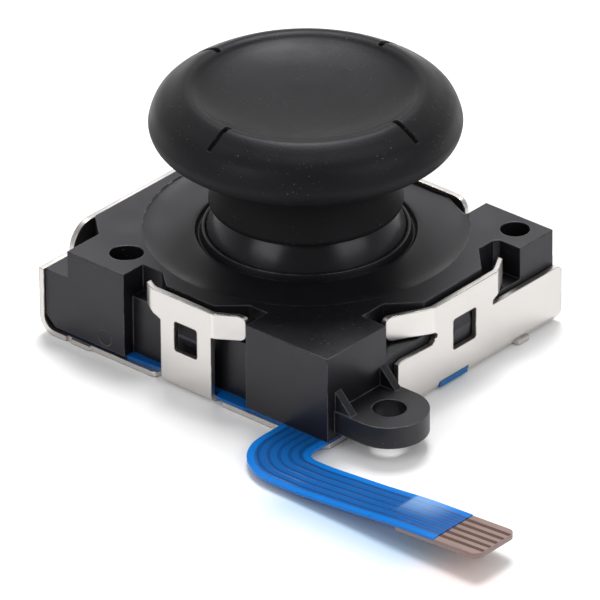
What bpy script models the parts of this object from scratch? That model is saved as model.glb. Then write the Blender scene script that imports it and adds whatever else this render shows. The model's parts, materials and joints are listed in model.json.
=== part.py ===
"""Low-profile two-axis analog stick module with click and flex tail, at rest, in metres, +Z up.

Origin: on the stick axis, on the underside of the base plate. X runs along the long front face,
the screw ear stands on the +X side and the tail leaves under the -Y face.
"""

import math

import bmesh
import bpy
from mathutils import Matrix, Vector

MM = 0.001

# Heights above the plate underside, in mm
SHEET = 0.30
FILM = 0.18
FILM_TOP = SHEET + FILM
TOP_Z = 5.25
STEP_Z = 3.73
PIVOT_Z = 3.75
SHELL_Z = FILM_TOP

# Sides of the body, measured from the stick axis
SIDE_L = -9.00
RAISED_L = -7.50
SIDE_R = 9.95
SIDE_F = -10.00
SIDE_B = 7.80

# Inner faces of the sheet walls: clear of the two ends, let into the two long faces
BEND_IN = 0.20
SHEET_GAP = 0.05
FRONT_INSET = 0.15
BACK_INSET = 0.50
WALL_F = SIDE_F + FRONT_INSET
WALL_R = SIDE_R + SHEET_GAP
WALL_L = SIDE_L - SHEET_GAP
WALL_B = SIDE_B - BACK_INSET

# Stick
DOME_R = 5.38
DOME_WALL = 0.50
OPENING_GAP = 0.06
LIP_R = DOME_R - 0.02
LIP_Z = TOP_Z + 0.05
ROD_R = 0.60
SLIDE_GAP = 0.15
TILT_DEG = 12.0
PRESS = 0.30
NECK_R = DOME_R - 0.36
NECK_Z = PIVOT_Z + 0.56 * DOME_R
CAP_R = 8.04
CAP_Z = 11.40
RIM_R = 6.00
RIM_Z = 13.36
POST_R = 1.60
SEAT_Z = PIVOT_Z + DOME_R - 0.53
POST_TOP = 11.40

# Sliders
X_BAR_Z = 0.98
Y_BAR_Z = 1.53
BAR_H = 0.45
RAIL = 0.50
BAR_HALF = ROD_R + SLIDE_GAP + RAIL

# Tail
TAIL_X0 = 6.95
TAIL_X1 = 9.90
TAIL_Y1 = -11.60
TAIL_W = 3.00
TAIL_END = 23.70
COVER_END = 20.90
STIFF_START = 18.40
STIFF_H = 0.20
PITCH = 0.50
# Where the tail's slope changes, the change there, and the half length of each soft bend
TAIL_BENDS = ((11.6, 0.083), (15.4, 0.029), (18.1, -0.054))
SOFT_BEND = 0.6

for old in list(bpy.data.objects):
    bpy.data.objects.remove(old)

scene = bpy.context.scene
group = bpy.data.collections.new("analog_stick_module")
tools = bpy.data.collections.new("cutters")
scene.collection.children.link(group)
scene.collection.children.link(tools)
tools.hide_render = True


def material(name, colour, rough, metal=0.0):
    mat = bpy.data.materials.new(name)
    mat.use_nodes = True
    shader = mat.node_tree.nodes["Principled BSDF"]
    shader.inputs["Base Color"].default_value = (*colour, 1.0)
    shader.inputs["Roughness"].default_value = rough
    shader.inputs["Metallic"].default_value = metal
    mat.diffuse_color = (*colour, 1.0)
    return mat


BLACK = material("black_shell", (0.035, 0.035, 0.038), 0.45)
RUBBER = material("rubber_cap", (0.022, 0.022, 0.023), 0.75)
GLOSS = material("polished_dome", (0.020, 0.020, 0.021), 0.22)
STEEL = material("nickel_sheet", (0.72, 0.69, 0.65), 0.32, 1.0)
BLUE = material("blue_film", (0.01, 0.10, 0.42), 0.38)
PINK = material("bare_film", (0.55, 0.36, 0.28), 0.45)
COPPER = material("contact_metal", (0.45, 0.27, 0.17), 0.35, 1.0)
CARBON = material("resistor_ink", (0.02, 0.02, 0.02), 0.6)
WHITE = material("acetal", (0.80, 0.79, 0.75), 0.5)
GREY = material("bearing_resin", (0.20, 0.21, 0.22), 0.5)
SPRING = material("spring_steel", (0.55, 0.55, 0.56), 0.3, 1.0)
BRASS = material("wiper_alloy", (0.75, 0.60, 0.30), 0.3, 1.0)


def placed(name, mesh, mat=None):
    """Links a mesh as a part, or as a cutter where it has no material."""
    obj = bpy.data.objects.new(name, mesh)
    mesh.materials.clear()
    if mat is None:
        tools.objects.link(obj)
        obj.hide_render = True
        obj.display_type = "WIRE"
    else:
        group.objects.link(obj)
        mesh.materials.append(mat)
    return obj


def tidy_mesh(mesh):
    """Welds a curve's loose caps and points the faces out."""
    bm = bmesh.new()
    bm.from_mesh(mesh)
    bmesh.ops.remove_doubles(bm, verts=bm.verts, dist=1e-7)
    bmesh.ops.recalc_face_normals(bm, faces=bm.faces)
    bm.to_mesh(mesh)
    bm.free()
    return mesh


def from_curve(name, curve, matrix):
    """The mesh of a curve object, moved by matrix, with the curve removed."""
    guide = bpy.data.objects.new(name + "_guide", curve)
    tools.objects.link(guide)
    bpy.context.view_layer.update()
    graph = bpy.context.evaluated_depsgraph_get()
    mesh = bpy.data.meshes.new_from_object(guide.evaluated_get(graph))
    bpy.data.objects.remove(guide)
    mesh.transform(matrix)
    mesh.name = name
    return tidy_mesh(mesh)


def poly(curve, points, closed):
    spline = curve.splines.new("POLY")
    spline.points.add(len(points) - 1)
    for spot, place in zip(spline.points, points):
        spot.co = (place[0] * MM, place[1] * MM, (place[2] if len(place) > 2 else 0) * MM, 1)
    spline.use_cyclic_u = closed


def prism(name, outline, lo, hi, mat=None, plane="XY"):
    """A flat outline in a plane, pushed from lo to hi along the third axis."""
    curve = bpy.data.curves.new(name, "CURVE")
    curve.dimensions = "2D"
    curve.fill_mode = "BOTH"
    curve.extrude = (hi - lo) * MM / 2
    poly(curve, outline, True)
    shift = Matrix.Translation((0, 0, (lo + hi) * MM / 2))
    stand = {"XY": Matrix.Identity(4),
             "XZ": Matrix(((1, 0, 0, 0), (0, 0, 1, 0), (0, 1, 0, 0), (0, 0, 0, 1))),
             "YZ": Matrix(((0, 0, 1, 0), (1, 0, 0, 0), (0, 1, 0, 0), (0, 0, 0, 1)))}[plane]
    return placed(name, from_curve(name, curve, stand @ shift), mat)


def box(name, x0, x1, y0, y1, z0, z1, mat=None):
    size = Matrix.Diagonal(((x1 - x0) * MM, (y1 - y0) * MM, (z1 - z0) * MM, 1))
    centre = Vector(((x0 + x1) / 2, (y0 + y1) / 2, (z0 + z1) / 2)) * MM
    bm = bmesh.new()
    bmesh.ops.create_cube(bm, size=1.0, matrix=Matrix.Translation(centre) @ size)
    mesh = bpy.data.meshes.new(name)
    bm.to_mesh(mesh)
    bm.free()
    return placed(name, mesh, mat)


def round_bar(name, r, lo, hi, steps, matrix, mat=None):
    bm = bmesh.new()
    shift = Matrix.Translation((0, 0, (lo + hi) * MM / 2))
    bmesh.ops.create_cone(bm, cap_ends=True, segments=steps, radius1=r * MM, radius2=r * MM,
                          depth=(hi - lo) * MM, matrix=matrix @ shift)
    mesh = bpy.data.meshes.new(name)
    bm.to_mesh(mesh)
    bm.free()
    return placed(name, mesh, mat)


def rounded_top(obj, width, level):
    """Rounds the edges at a level and the upright edges that reach it."""
    bm = bmesh.new()
    bm.from_mesh(obj.data)
    edges = []
    for edge in bm.edges:
        heights = [v.co.z / MM for v in edge.verts]
        if max(heights) > level - 1e-4 and edge.is_manifold and edge.calc_face_angle() > 0.3:
            edges.append(edge)
    bmesh.ops.bevel(bm, geom=edges, offset=width * MM, segments=2, profile=0.5, affect="EDGES",
                    clamp_overlap=True)
    bm.to_mesh(obj.data)
    bm.free()


def disc(name, r, z0, z1, steps=32, centre=(0.0, 0.0), mat=None):
    spot = Matrix.Translation((centre[0] * MM, centre[1] * MM, 0))
    return round_bar(name, r, z0, z1, steps, spot, mat)


def rod(name, r, lo, hi, axis, steps=24):
    """A round pin along X or Y through the pivot."""
    turn = Matrix.Rotation(math.pi / 2, 4, "Y") if axis == "X" else Matrix.Rotation(-math.pi / 2, 4, "X")
    return round_bar(name, r, lo, hi, steps, Matrix.Translation((0, 0, PIVOT_Z * MM)) @ turn)


def turned(name, profile, steps, mat=None, centre=(0.0, 0.0), close=True):
    """A profile of (r, z), outer side from top to bottom, turned about the upright axis."""
    mesh = bpy.data.meshes.new(name)
    points = [(r * MM, 0.0, z * MM) for r, z in profile]
    n = len(points)
    edges = [(i, i + 1) for i in range(n - 1)]
    if close:
        edges.append((n - 1, 0))
    mesh.from_pydata(points, edges, [])
    guide = bpy.data.objects.new(name + "_guide", mesh)
    tools.objects.link(guide)
    screw = guide.modifiers.new("turn", "SCREW")
    screw.steps = steps
    screw.render_steps = steps
    screw.use_merge_vertices = True
    screw.merge_threshold = 1e-6
    graph = bpy.context.evaluated_depsgraph_get()
    made = bpy.data.meshes.new_from_object(guide.evaluated_get(graph))
    bpy.data.objects.remove(guide)
    tidy_mesh(made)
    made.transform(Matrix.Translation((centre[0] * MM, centre[1] * MM, 0)))
    made.name = name
    return placed(name, made, mat)


def combine(target, other, operation):
    step = target.modifiers.new(operation.lower(), "BOOLEAN")
    step.operation = operation
    step.solver = "EXACT"
    step.object = other


def cut(target, *others):
    for other in others:
        combine(target, other, "DIFFERENCE")


def join(target, *others):
    for other in others:
        combine(target, other, "UNION")


def keep(target, other):
    combine(target, other, "INTERSECT")


def baked(obj):
    """The evaluated shape as the object's own mesh, with its modifiers gone."""
    bpy.context.view_layer.update()
    graph = bpy.context.evaluated_depsgraph_get()
    made = bpy.data.meshes.new_from_object(obj.evaluated_get(graph))
    old = obj.data
    obj.modifiers.clear()
    obj.data = made
    bpy.data.meshes.remove(old)
    return obj


def moved_origin(obj, x, y, z):
    """Puts the object's origin on its joint without moving the shape."""
    spot = Vector((x * MM, y * MM, z * MM))
    obj.data.transform(Matrix.Translation(-spot))
    obj.location = spot


def arc(cx, cy, r, a0, a1, steps):
    return [(cx + r * math.cos(math.radians(a0 + (a1 - a0) * i / steps)),
             cy + r * math.sin(math.radians(a0 + (a1 - a0) * i / steps)))
            for i in range(steps + 1)]


def sphere_point(radius, polar):
    return (radius * math.sin(math.radians(polar)), PIVOT_Z + radius * math.cos(math.radians(polar)))


# Housing: lower body, raised body with pockets behind the sheet wings
BLOCK_F = SIDE_F + 0.10
POCKET_R = SIDE_R - 1.60
FACE_R = SIDE_R - 0.15
POCKET_L = SIDE_L + 1.40
FACE_L = SIDE_L + 0.05
BACK_L = -5.00
BACK_R = 5.50
lower = [(SIDE_L, SIDE_F), (-3.65, SIDE_F), (-3.65, WALL_F + 0.55), (4.50, WALL_F + 0.55),
         (4.50, BLOCK_F), (SIDE_R, BLOCK_F), (SIDE_R, SIDE_B), (BACK_R, SIDE_B),
         (BACK_R, WALL_B - 0.50), (BACK_L, WALL_B - 0.50), (BACK_L, SIDE_B), (SIDE_L, SIDE_B)]
upper = [(RAISED_L, SIDE_F), (-3.65, SIDE_F), (-3.65, WALL_F + 1.35), (-2.30, WALL_F + 1.35),
         (-1.25, WALL_F + 0.45), (1.95, WALL_F + 0.45), (3.30, WALL_F + 1.65),
         (4.50, WALL_F + 1.65), (4.50, BLOCK_F), (SIDE_R, BLOCK_F),
         (SIDE_R, -5.35), (POCKET_R, -5.35), (POCKET_R, -3.70), (FACE_R, -2.25), (FACE_R, 2.30),
         (POCKET_R, 3.80), (POCKET_R, 4.95), (POCKET_R + 0.25, 5.20), (SIDE_R, 5.20),
         (SIDE_R, SIDE_B), (BACK_R, SIDE_B), (BACK_R, WALL_B - 0.92), (BACK_R - 0.30, WALL_B - 0.92),
         (4.75, WALL_B - 0.72), (3.50, WALL_B - 0.09), (-1.25, WALL_B - 0.09),
         (-2.30, WALL_B - 0.95), (BACK_L, WALL_B - 0.95), (BACK_L, SIDE_B), (SIDE_L, SIDE_B),
         (SIDE_L, 6.10), (POCKET_L, 6.10), (POCKET_L, 4.00), (FACE_L, 2.65), (FACE_L, -6.25),
         (RAISED_L, -7.55)]
housing = prism("housing", lower, SHELL_Z, STEP_Z, BLACK)
raised = prism("raised", upper, STEP_Z - 0.3, TOP_Z)
rounded_top(raised, 0.07, TOP_Z)
join(housing, raised)
keep(housing, prism("foot_round", [(SIDE_L - 1, 1.10), (FACE_L, 1.02), (SIDE_L + 0.65, 0.40),
                                   (12, 0.40), (12, 6), (SIDE_L - 1, 6)],
                    -12, 12, plane="XZ"))
# Ear with its two gussets
EAR_X = SIDE_R + 1.87
EAR_Y = -7.32
EAR_R = 2.05
EAR_LOW = 0.85
EAR_TOP = 2.05
ROOT_R = SIDE_R - 0.35
ear = [(ROOT_R, EAR_Y - EAR_R)] + arc(EAR_X, EAR_Y, EAR_R, -90, 90, 20) + [(ROOT_R, EAR_Y + EAR_R)]
join(housing, prism("ear", ear, EAR_LOW, EAR_TOP))
for number, gusset_y in enumerate((-9.30, -5.85)):
    join(housing, prism("gusset_%d" % number,
                        [(ROOT_R, EAR_TOP - 0.1), (SIDE_R + 1.03, EAR_TOP - 0.1),
                         (SIDE_R + 1.03, EAR_TOP), (SIDE_R, 3.12), (ROOT_R, 3.12)],
                        gusset_y, gusset_y + 0.46, plane="XZ"))
# Lugs that snap through the sheet windows


def lug(name, wall, side, depth, reach, low, high, start, plane):
    """A wedge rooted depth inside a wall face (side is +1 or -1) that reaches out through it."""
    root = wall - side * (depth + 0.25)
    foot = wall - side * depth
    edge = wall + side * reach
    mid = (low + high) / 2
    join(housing, prism(name, [(root, high), (foot, high), (edge, mid + 0.10), (edge, mid - 0.03),
                               (foot, low), (root, low)],
                        start, start + LUG_W, plane=plane))


LUG_W = 1.30
lug("lug_front", WALL_F, -1, 0.40, 0.11, 2.25, 3.85, 0.02, "YZ")
lug("lug_back", WALL_B, 1, 0.45, 0.11, 2.25, 3.85, 0.02, "YZ")
lug("lug_left", WALL_L, -1, 0.10, 0.15, 1.98, 3.60, -0.27, "XZ")
lug("lug_right", WALL_R, 1, 0.05, 0.16, 1.98, 3.60, -0.27, "XZ")
# Top: shallow dish inside the circle, raised lip round the opening
ROUND = 48
cut(housing, turned("top_dish", [(8.45, TOP_Z + 1), (8.45, TOP_Z), (8.40, TOP_Z - 0.08),
                                 (7.30, TOP_Z - 0.36), (6.60, TOP_Z - 0.55),
                                 (LIP_R + 0.69, TOP_Z - 0.62), (LIP_R + 0.39, TOP_Z - 0.60),
                                 (LIP_R - 0.40, TOP_Z - 0.60), (LIP_R - 0.40, TOP_Z + 1)], ROUND))
join(housing, turned("lip", [(LIP_R - 0.05, LIP_Z + 0.01), (LIP_R, LIP_Z), (LIP_R + 0.06, LIP_Z - 0.32),
                             (LIP_R + 0.12, LIP_Z - 0.42), (LIP_R + 0.20, LIP_Z - 0.52),
                             (LIP_R + 0.34, LIP_Z - 0.75), (LIP_R + 0.34, LIP_Z - 1.10),
                             (LIP_R - 0.36, LIP_Z - 1.10), (LIP_R - 0.36, LIP_Z + 0.01)], ROUND))
opening = [sphere_point(DOME_R + OPENING_GAP, polar) for polar in (66, 71, 76, 81, 86, 90)]
ROOM_R = DOME_R + 0.22
bore = turned("opening", [(0, TOP_Z + 1.2), (opening[0][0], TOP_Z + 1.2)] + opening
              + [(ROOM_R, PIVOT_Z - 0.1), (ROOM_R, 0.2), (0, 0.2)], ROUND, close=False)
bore.data.transform(Matrix.Rotation(math.pi / ROUND, 4, "Z"))
cut(housing, bore)
cut(housing, box("slider_room_f", -2.40, 2.40, -7.90, 0.0, 0.2, 2.30),
    box("slider_room_r", 0.0, 7.90, -2.40, 2.40, 0.2, 2.30))
OUT_R_SIDE = SIDE_R + 0.25
OUT_L_SIDE = SIDE_L - 0.30
cut(housing, prism("pocket_a", [(POCKET_R, -5.35), (OUT_R_SIDE, -5.35), (OUT_R_SIDE, -1.85),
                                (POCKET_R, -3.70)], STEP_Z - 0.29, STEP_Z + 0.1),
    prism("pocket_b", [(POCKET_R, 3.80), (OUT_R_SIDE, 1.95), (OUT_R_SIDE, 5.20),
                       (POCKET_R + 0.32, 5.20), (POCKET_R, 4.88)], STEP_Z - 0.29, STEP_Z + 0.1),
    prism("pocket_c", [(POCKET_L, 6.10), (OUT_L_SIDE, 6.10), (OUT_L_SIDE, 2.27),
                       (POCKET_L, 3.97)], STEP_Z - 0.29, STEP_Z + 0.1))
# Locating holes: a slot at the front left, a round hole at the back right, the screw hole
SLOT_DIR = math.degrees(math.atan2(14.73, 13.51))
slot = []
for side in (0, 1):
    cx = -5.07 + (0.14 if side == 0 else -0.14) * math.cos(math.radians(SLOT_DIR))
    cy = -8.15 + (0.14 if side == 0 else -0.14) * math.sin(math.radians(SLOT_DIR))
    slot += arc(cx, cy, 0.76, SLOT_DIR - 90 + 180 * side, SLOT_DIR + 90 + 180 * side, 10)
cut(housing, prism("slot_hole", slot, 1.8, TOP_Z + 1),
    disc("round_hole", 0.78, 1.8, TOP_Z + 1, 28, (SIDE_R - 1.51, SIDE_B - 1.22)),
    disc("screw_hole", 0.88, 0.2, EAR_TOP + 1, 32, (EAR_X, EAR_Y)))
# Shallow ejector mark on the front face
facing = Matrix.Translation((-5.0 * MM, 0, 1.08 * MM)) @ Matrix.Rotation(-math.pi / 2, 4, "X")
cut(housing, round_bar("ejector_mark", 0.45, SIDE_F - 0.2, SIDE_F + 0.05, 24, facing))
baked(housing)

# Base plate: floor and four upturned sides
floor = [(SIDE_L + 0.65, SIDE_F), (-1.85, SIDE_F), (-1.60, SIDE_F + 0.10), (-1.50, SIDE_F + 0.40),
         (2.85, SIDE_F + 0.40), (2.85, SIDE_F + 0.10), (3.00, SIDE_F), (SIDE_R - 0.35, SIDE_F),
         (WALL_R - 0.10, SIDE_F + 0.30), (WALL_R - 0.10, -5.10), (WALL_R - 0.25, -4.90),
         (WALL_R - 0.25, SIDE_B), (WALL_R - 0.55, SIDE_B + 0.20), (5.70, SIDE_B + 0.20),
         (5.70, WALL_B - 0.25), (-5.10, WALL_B - 0.25), (-5.10, SIDE_B + 0.15),
         (SIDE_L + 0.65, SIDE_B + 0.15)]
plate = prism("base_plate", floor, 0.0, SHEET, STEEL)
# Sheared ends of the two strips that held the blank
join(plate, prism("carrier_stub", [(-7.35, SIDE_F + 0.20), (-7.20, SIDE_F - 0.14),
                                   (-5.95, SIDE_F - 0.14), (-5.80, SIDE_F + 0.20)],
                  0.02, SHEET - 0.02),
     prism("right_stub", [(WALL_R - 0.30, 4.45), (WALL_R + 0.42, 4.55), (WALL_R + 0.42, 5.35),
                          (WALL_R - 0.30, 5.45)],
           0.02, SHEET - 0.02))


def bend(inner, start, wall, top):
    """Section (n, z) of a sheet that leaves the floor at start and turns up with its inner face on wall."""
    outer = inner + SHEET
    centre = wall - inner
    inside = arc(centre, SHEET + inner, inner, -90, 0, 8)
    outside = arc(centre, SHEET + inner, outer, 0, -90, 8)
    return [(start, SHEET)] + inside + [(wall, top), (wall + SHEET, top)] + outside + [(start, 0.0)]


def clip(tag, turn, wall, inner, strip, top, outline, path, windows, reach=1.0):
    """A sheet side, made facing +X and then turned: the strip with its bend, and the head on its
    curved plan path, cut to outline."""
    section = bend(inner, wall - inner - reach, wall, top)
    body = prism(tag + "_strip", section, strip[0], strip[1], plane="XZ")
    inside = [(wall - depth, s) for s, depth in path]
    outside = [(wall + SHEET - depth, s) for s, depth in path][::-1]
    head = prism(tag + "_head", inside + outside, 2.9, 5.6)
    keep(head, prism(tag + "_outline", outline, wall - 3.0, wall + 2.0, plane="YZ"))
    join(body, baked(head))
    for number, (s0, s1, z0, z1) in enumerate(windows):
        cut(body, prism("%s_window_%d" % (tag, number),
                        [(s0 + .1, z0), (s1 - .1, z0), (s1, z0 + .1), (s1, z1 - .1),
                         (s1 - .1, z1), (s0 + .1, z1), (s0, z1 - .1), (s0, z0 + .1)],
                        wall - 1.0, wall + 1.0, plane="YZ"))
    baked(body)
    body.data.transform(Matrix.Rotation(math.radians(turn), 4, "Z"))
    return body


front_head = ([(-2.25, 5.25), (-2.25, 4.10), (-1.75, 4.00), (-1.02, 3.70), (-1.02, 3.3), (2.38, 3.3),
               (2.38, 3.84), (3.30, 3.84)] + arc(3.66, 4.14, 0.30, -90, 0, 4)
              + arc(3.56, 4.85, 0.40, 0, 90, 5) + [(-2.05, 5.30)])
front_path = [(-2.30, 0.42), (-2.00, 0.22), (-1.75, 0.08), (-1.50, 0.0), (2.38, 0.0), (2.56, 0.05),
              (3.47, 0.62), (4.20, 1.04)]
join(plate, clip("front", -90, -WALL_F, BEND_IN, (-1.02, 2.38), 3.6, front_head, front_path,
                 [(-0.10, 1.44, 2.22, 3.92)]))
right_head = ([(-4.05, 3.55), (-1.95, 3.50), (-1.75, 3.35), (-1.80, 3.2), (2.60, 3.2), (2.62, 3.45),
               (2.90, 3.58), (4.15, 3.60), (4.20, 4.95)] + [(2.60, 4.98), (-3.95, 4.95)]
              + arc(-4.02, 4.60, 0.35, 100, 180, 4) + arc(-4.02, 3.9, 0.35, 180, 260, 4))
right_path = [(-4.50, 1.30), (-3.58, 0.82), (-2.14, 0.07), (-1.94, 0.0), (2.90, 0.0), (3.20, 0.12),
              (4.25, 0.72)]
right_wall = clip("right", 0, WALL_R, BEND_IN, (-4.84, 8.10), 3.20, right_head, right_path,
                  [(-0.52, 1.28, 1.88, 3.64)], reach=0.6)
cut(right_wall, prism("right_corner", [(-6, 2.97), (-4.84, 2.85), (-4.45, 2.97), (-2.15, 2.90),
                                       (-1.98, 3.05), (-1.98, 3.3), (-6, 3.3)],
                      9, 12, plane="YZ"),
    prism("right_end", [(7.75, 3.3), (8.10, 2.95), (9, 2.95), (9, 3.3)], 9, 12,
          plane="YZ"),
    prism("right_foot", [(7.70, -0.2), (8.10, 0.60), (9, 0.60), (9, -0.2)], 9, 12,
          plane="YZ"),
    box("film_slot", WALL_R - 1.0, WALL_R + 1.0, -1.61, 0.68, SHEET - 0.03, FILM_TOP + 0.02))
right_wall = baked(right_wall)

left_head = ([(-2.60, 3.2), (7.80, 3.2), (7.80, 3.70)] + arc(6.40, 3.70, 1.40, 0, 90, 10)[1:]
             + [(-3.95, 5.10)] + arc(-3.95, 4.70, 0.35, 90, 180, 4)
             + arc(-3.95, 4.0, 0.35, 180, 270, 4) + [(-2.60, 3.60)])
left_path = [(-4.50, 0.60), (-3.70, 0.32), (-3.10, 0.10), (-2.70, 0.0), (8.2, 0.0)]
left_wall = clip("left", 180, -WALL_L, 0.70, (-2.60, 0.12 - SIDE_F), 3.70, left_head, left_path,
                 [(-1.28, 0.52, 1.88, 3.64)], reach=0.8)
back_head = ([(-s, z) for s, z in front_head[:8]] + arc(-4.25, 4.24, 0.40, 270, 180, 4)
             + arc(-4.05, 4.65, 0.60, 180, 90, 5))
back_path = [(2.30, 0.42), (2.00, 0.22), (1.75, 0.08), (1.50, 0.0), (-3.60, 0.0), (-3.90, 0.04),
             (-4.75, 0.22)]
back_wall = clip("back", 90, WALL_B, BEND_IN, (-2.38, 1.02), 3.6, back_head, back_path,
                 [(-1.44, 0.10, 2.22, 3.92)])
join(plate, right_wall, left_wall, back_wall)
# Holes under the switch and for the housing pegs
cut(plate, disc("peg_a", 0.62, -1, 1, 24, (-6.6, 6.4)), disc("peg_b", 0.62, -1, 1, 24, (7.6, -7.6)))
baked(plate)


def sheet(name, plan, faces, base, thick, mat):
    """An open surface over plan faces, raised by base plus the tail's rise, with Solidify."""
    mesh = bpy.data.meshes.new(name)
    mesh.from_pydata([(x * MM, y * MM, (base + lift(x)) * MM) for x, y in plan], [], faces)
    bm = bmesh.new()
    bm.from_mesh(mesh)
    bmesh.ops.recalc_face_normals(bm, faces=bm.faces)
    if sum(face.normal.z for face in bm.faces) < 0:
        bmesh.ops.reverse_faces(bm, faces=bm.faces)
    bm.to_mesh(mesh)
    bm.free()
    obj = placed(name, mesh, mat)
    skin = obj.modifiers.new("thickness", "SOLIDIFY")
    skin.thickness = thick * MM
    skin.offset = 1.0
    return obj


def film(name, pairs, body, base, thick, mat):
    """Flat body polygon (its last two points start the ribbon) with a ribbon of point pairs."""
    plan = list(body)
    a, b = len(plan) - 2, len(plan) - 1
    faces = [list(range(len(plan)))]
    for left, right in pairs:
        plan += [left, right]
        faces.append([a, b, len(plan) - 1, len(plan) - 2])
        a, b = len(plan) - 2, len(plan) - 1
    return sheet(name, plan, faces, base, thick, mat)


def lift(x):
    """Rise of the tail: straight stretches joined by a soft bend at each change of slope."""
    rise = 0.0
    for place, change in TAIL_BENDS:
        run = max(0.0, x - place + SOFT_BEND)
        rise += change * (run * run / (4 * SOFT_BEND) if run < 2 * SOFT_BEND else run - SOFT_BEND)
    return rise


TAIL_Y0 = TAIL_Y1 - TAIL_W
OUT_R = 3.10
IN_R = 0.75
outer_bend = arc(TAIL_X0 + OUT_R, TAIL_Y0 + OUT_R, OUT_R, 180, 270, 12)
inner_bend = arc(TAIL_X1 + IN_R, TAIL_Y1 + IN_R, IN_R, 180, 270, 12)
pairs = list(zip(outer_bend, inner_bend))
steps = [11.0, 11.4, 11.8, 12.2, 14.8, 15.4, 16.0, 17.5, 18.0, STIFF_START, 18.60, 19.6, COVER_END,
         22.0, 23.30]
pairs += [((x, TAIL_Y0), (x, TAIL_Y1)) for x in steps]
for angle in (22.5, 45, 67.5, 90):
    inset = 0.4 * (1 - math.cos(math.radians(angle)))
    pairs.append(((23.30 + 0.4 * math.sin(math.radians(angle)), TAIL_Y0 + inset),
                  (23.30 + 0.4 * math.sin(math.radians(angle)), TAIL_Y1 - inset)))
FILM_R = WALL_R - 0.30
film_body = [(TAIL_X1, -5.40), (FILM_R, -5.20), (FILM_R, -1.55), (WALL_R + 0.28, -1.55),
             (WALL_R + 0.28, 0.62), (FILM_R, 0.62), (FILM_R, SIDE_B - 0.20), (5.75, SIDE_B - 0.20),
             (5.75, WALL_B - 0.60), (-5.15, WALL_B - 0.60), (-5.15, SIDE_B - 0.20),
             (-8.20, SIDE_B - 0.20), (-8.20, SIDE_F + 0.07), (-3.60, SIDE_F + 0.07),
             (-3.40, -9.55), (-1.10, -9.55), (2.45, -9.55), (2.60, -9.85), (TAIL_X0, -9.85),
             (TAIL_X1, -9.85)]
film("flex_circuit", pairs, film_body, SHEET, FILM, BLUE)

# Stiffener under the tail end
stiff_pairs = [((x, TAIL_Y0), (x, TAIL_Y1)) for x in (19.6, COVER_END, 22.0, 23.30)] + pairs[-4:]
film("tail_stiffener", stiff_pairs, [(STIFF_START, TAIL_Y1 - 0.3), (STIFF_START, TAIL_Y0 + 0.3),
                                     (18.60, TAIL_Y0), (18.60, TAIL_Y1)],
     SHEET - STIFF_H - 0.003, STIFF_H, BLUE)

# Contact fingers on the bared end
FINGER = 0.11
for number in range(5):
    y = TAIL_Y0 + 0.5 + PITCH * number
    plan = [(20.95, y - FINGER), (22.0, y - FINGER), (TAIL_END - 0.04, y - FINGER),
            (TAIL_END - 0.04, y + FINGER), (22.0, y + FINGER), (20.95, y + FINGER)]
    sheet("contact_finger_%d" % (number + 1), plan, [[0, 1, 4, 5], [1, 2, 3, 4]],
          FILM_TOP + 0.003, 0.03, COPPER)

# Tracks under the wipers
TRACK_Z = FILM_TOP + 0.002
box("track_x_resistor", -2.0, 2.0, -6.35, -5.75, TRACK_Z, TRACK_Z + 0.03, CARBON)
box("track_x_collector", -2.0, 2.0, -7.25, -6.65, TRACK_Z, TRACK_Z + 0.03, COPPER)
box("track_y_resistor", 5.75, 6.35, -2.0, 2.0, TRACK_Z, TRACK_Z + 0.03, CARBON)
box("track_y_collector", 6.65, 7.25, -2.0, 2.0, TRACK_Z, TRACK_Z + 0.03, COPPER)

# Snap dome of the click switch
DOME_Z = FILM_TOP + 0.01
dome_out = [(1.70 * math.sin(math.radians(a)) / math.sin(math.radians(40)),
             DOME_Z + 0.30 * (math.cos(math.radians(a)) - math.cos(math.radians(40)))
             / (1 - math.cos(math.radians(40)))) for a in (0, 8, 16, 24, 32, 40)]
dome_in = [(r * 0.965, z - 0.06) for r, z in dome_out[::-1]]
dome_in[0] = (1.60, DOME_Z)
turned("snap_dome", dome_out + dome_in, 28, STEEL, close=False)

# Guide plate that the sliders run on
GUIDE_R = DOME_R - 0.03
guide = prism("slider_guide", arc(0, 0, GUIDE_R, -64, -26, 8) + [(7.70, -2.25), (7.70, 2.25)]
              + arc(0, 0, GUIDE_R, 26, 244, 40) + [(-2.25, -7.70), (2.25, -7.70)], 0.50, 0.90, WHITE)
join(guide, box("stop_f", -2.25, 2.25, -7.70, -7.40, 0.80, 1.40),
     box("stop_r", 7.40, 7.70, -2.25, 2.25, 0.80, 1.40))
cut(guide, disc("guide_hole", 1.90, 0, 2, 40), box("window_f", -2.05, 2.05, -7.36, -5.50, 0, 2),
    box("window_r", 5.50, 7.36, -2.05, 2.05, 0, 2))
baked(guide)

# Bearing frame: deck, legs and the two trunnion posts
DECK_TOP = 2.40
deck = disc("bearing_frame", DOME_R - DOME_WALL - 0.38, 2.05, DECK_TOP, 48, mat=GREY)
for sx in (-1, 1):
    for sy in (-1, 1):
        join(deck, box("leg_%d%d" % (sx, sy), sx * 2.95 - 0.38, sx * 2.95 + 0.38,
                       sy * 2.95 - 0.38, sy * 2.95 + 0.38, 0.91, 2.20))
for sy in (-1, 1):
    join(deck, prism("post_%d" % sy, [(-0.75, sy * 3.0), (0.75, sy * 3.0), (0.75, sy * 3.75),
                                      (-0.75, sy * 3.75)], 2.30, 4.35))


cut(deck, disc("deck_hole", 1.55, 1, 3, 40), rod("post_bore", 0.42, -5, 5, "Y"))
baked(deck)

# Gimbal ring: trunnions along Y, bores along X
ring = turned("gimbal_ring", [(2.15, 4.20), (2.15, 3.30), (1.55, 3.30), (1.55, 4.20)], 48, GREY)
join(ring, rod("pin_a", 0.38, 1.85, 3.72, "Y"), rod("pin_b", 0.38, -3.72, -1.85, "Y"))
cut(ring, rod("ring_bore", 0.34, -4, 4, "X"))
baked(ring)

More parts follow.
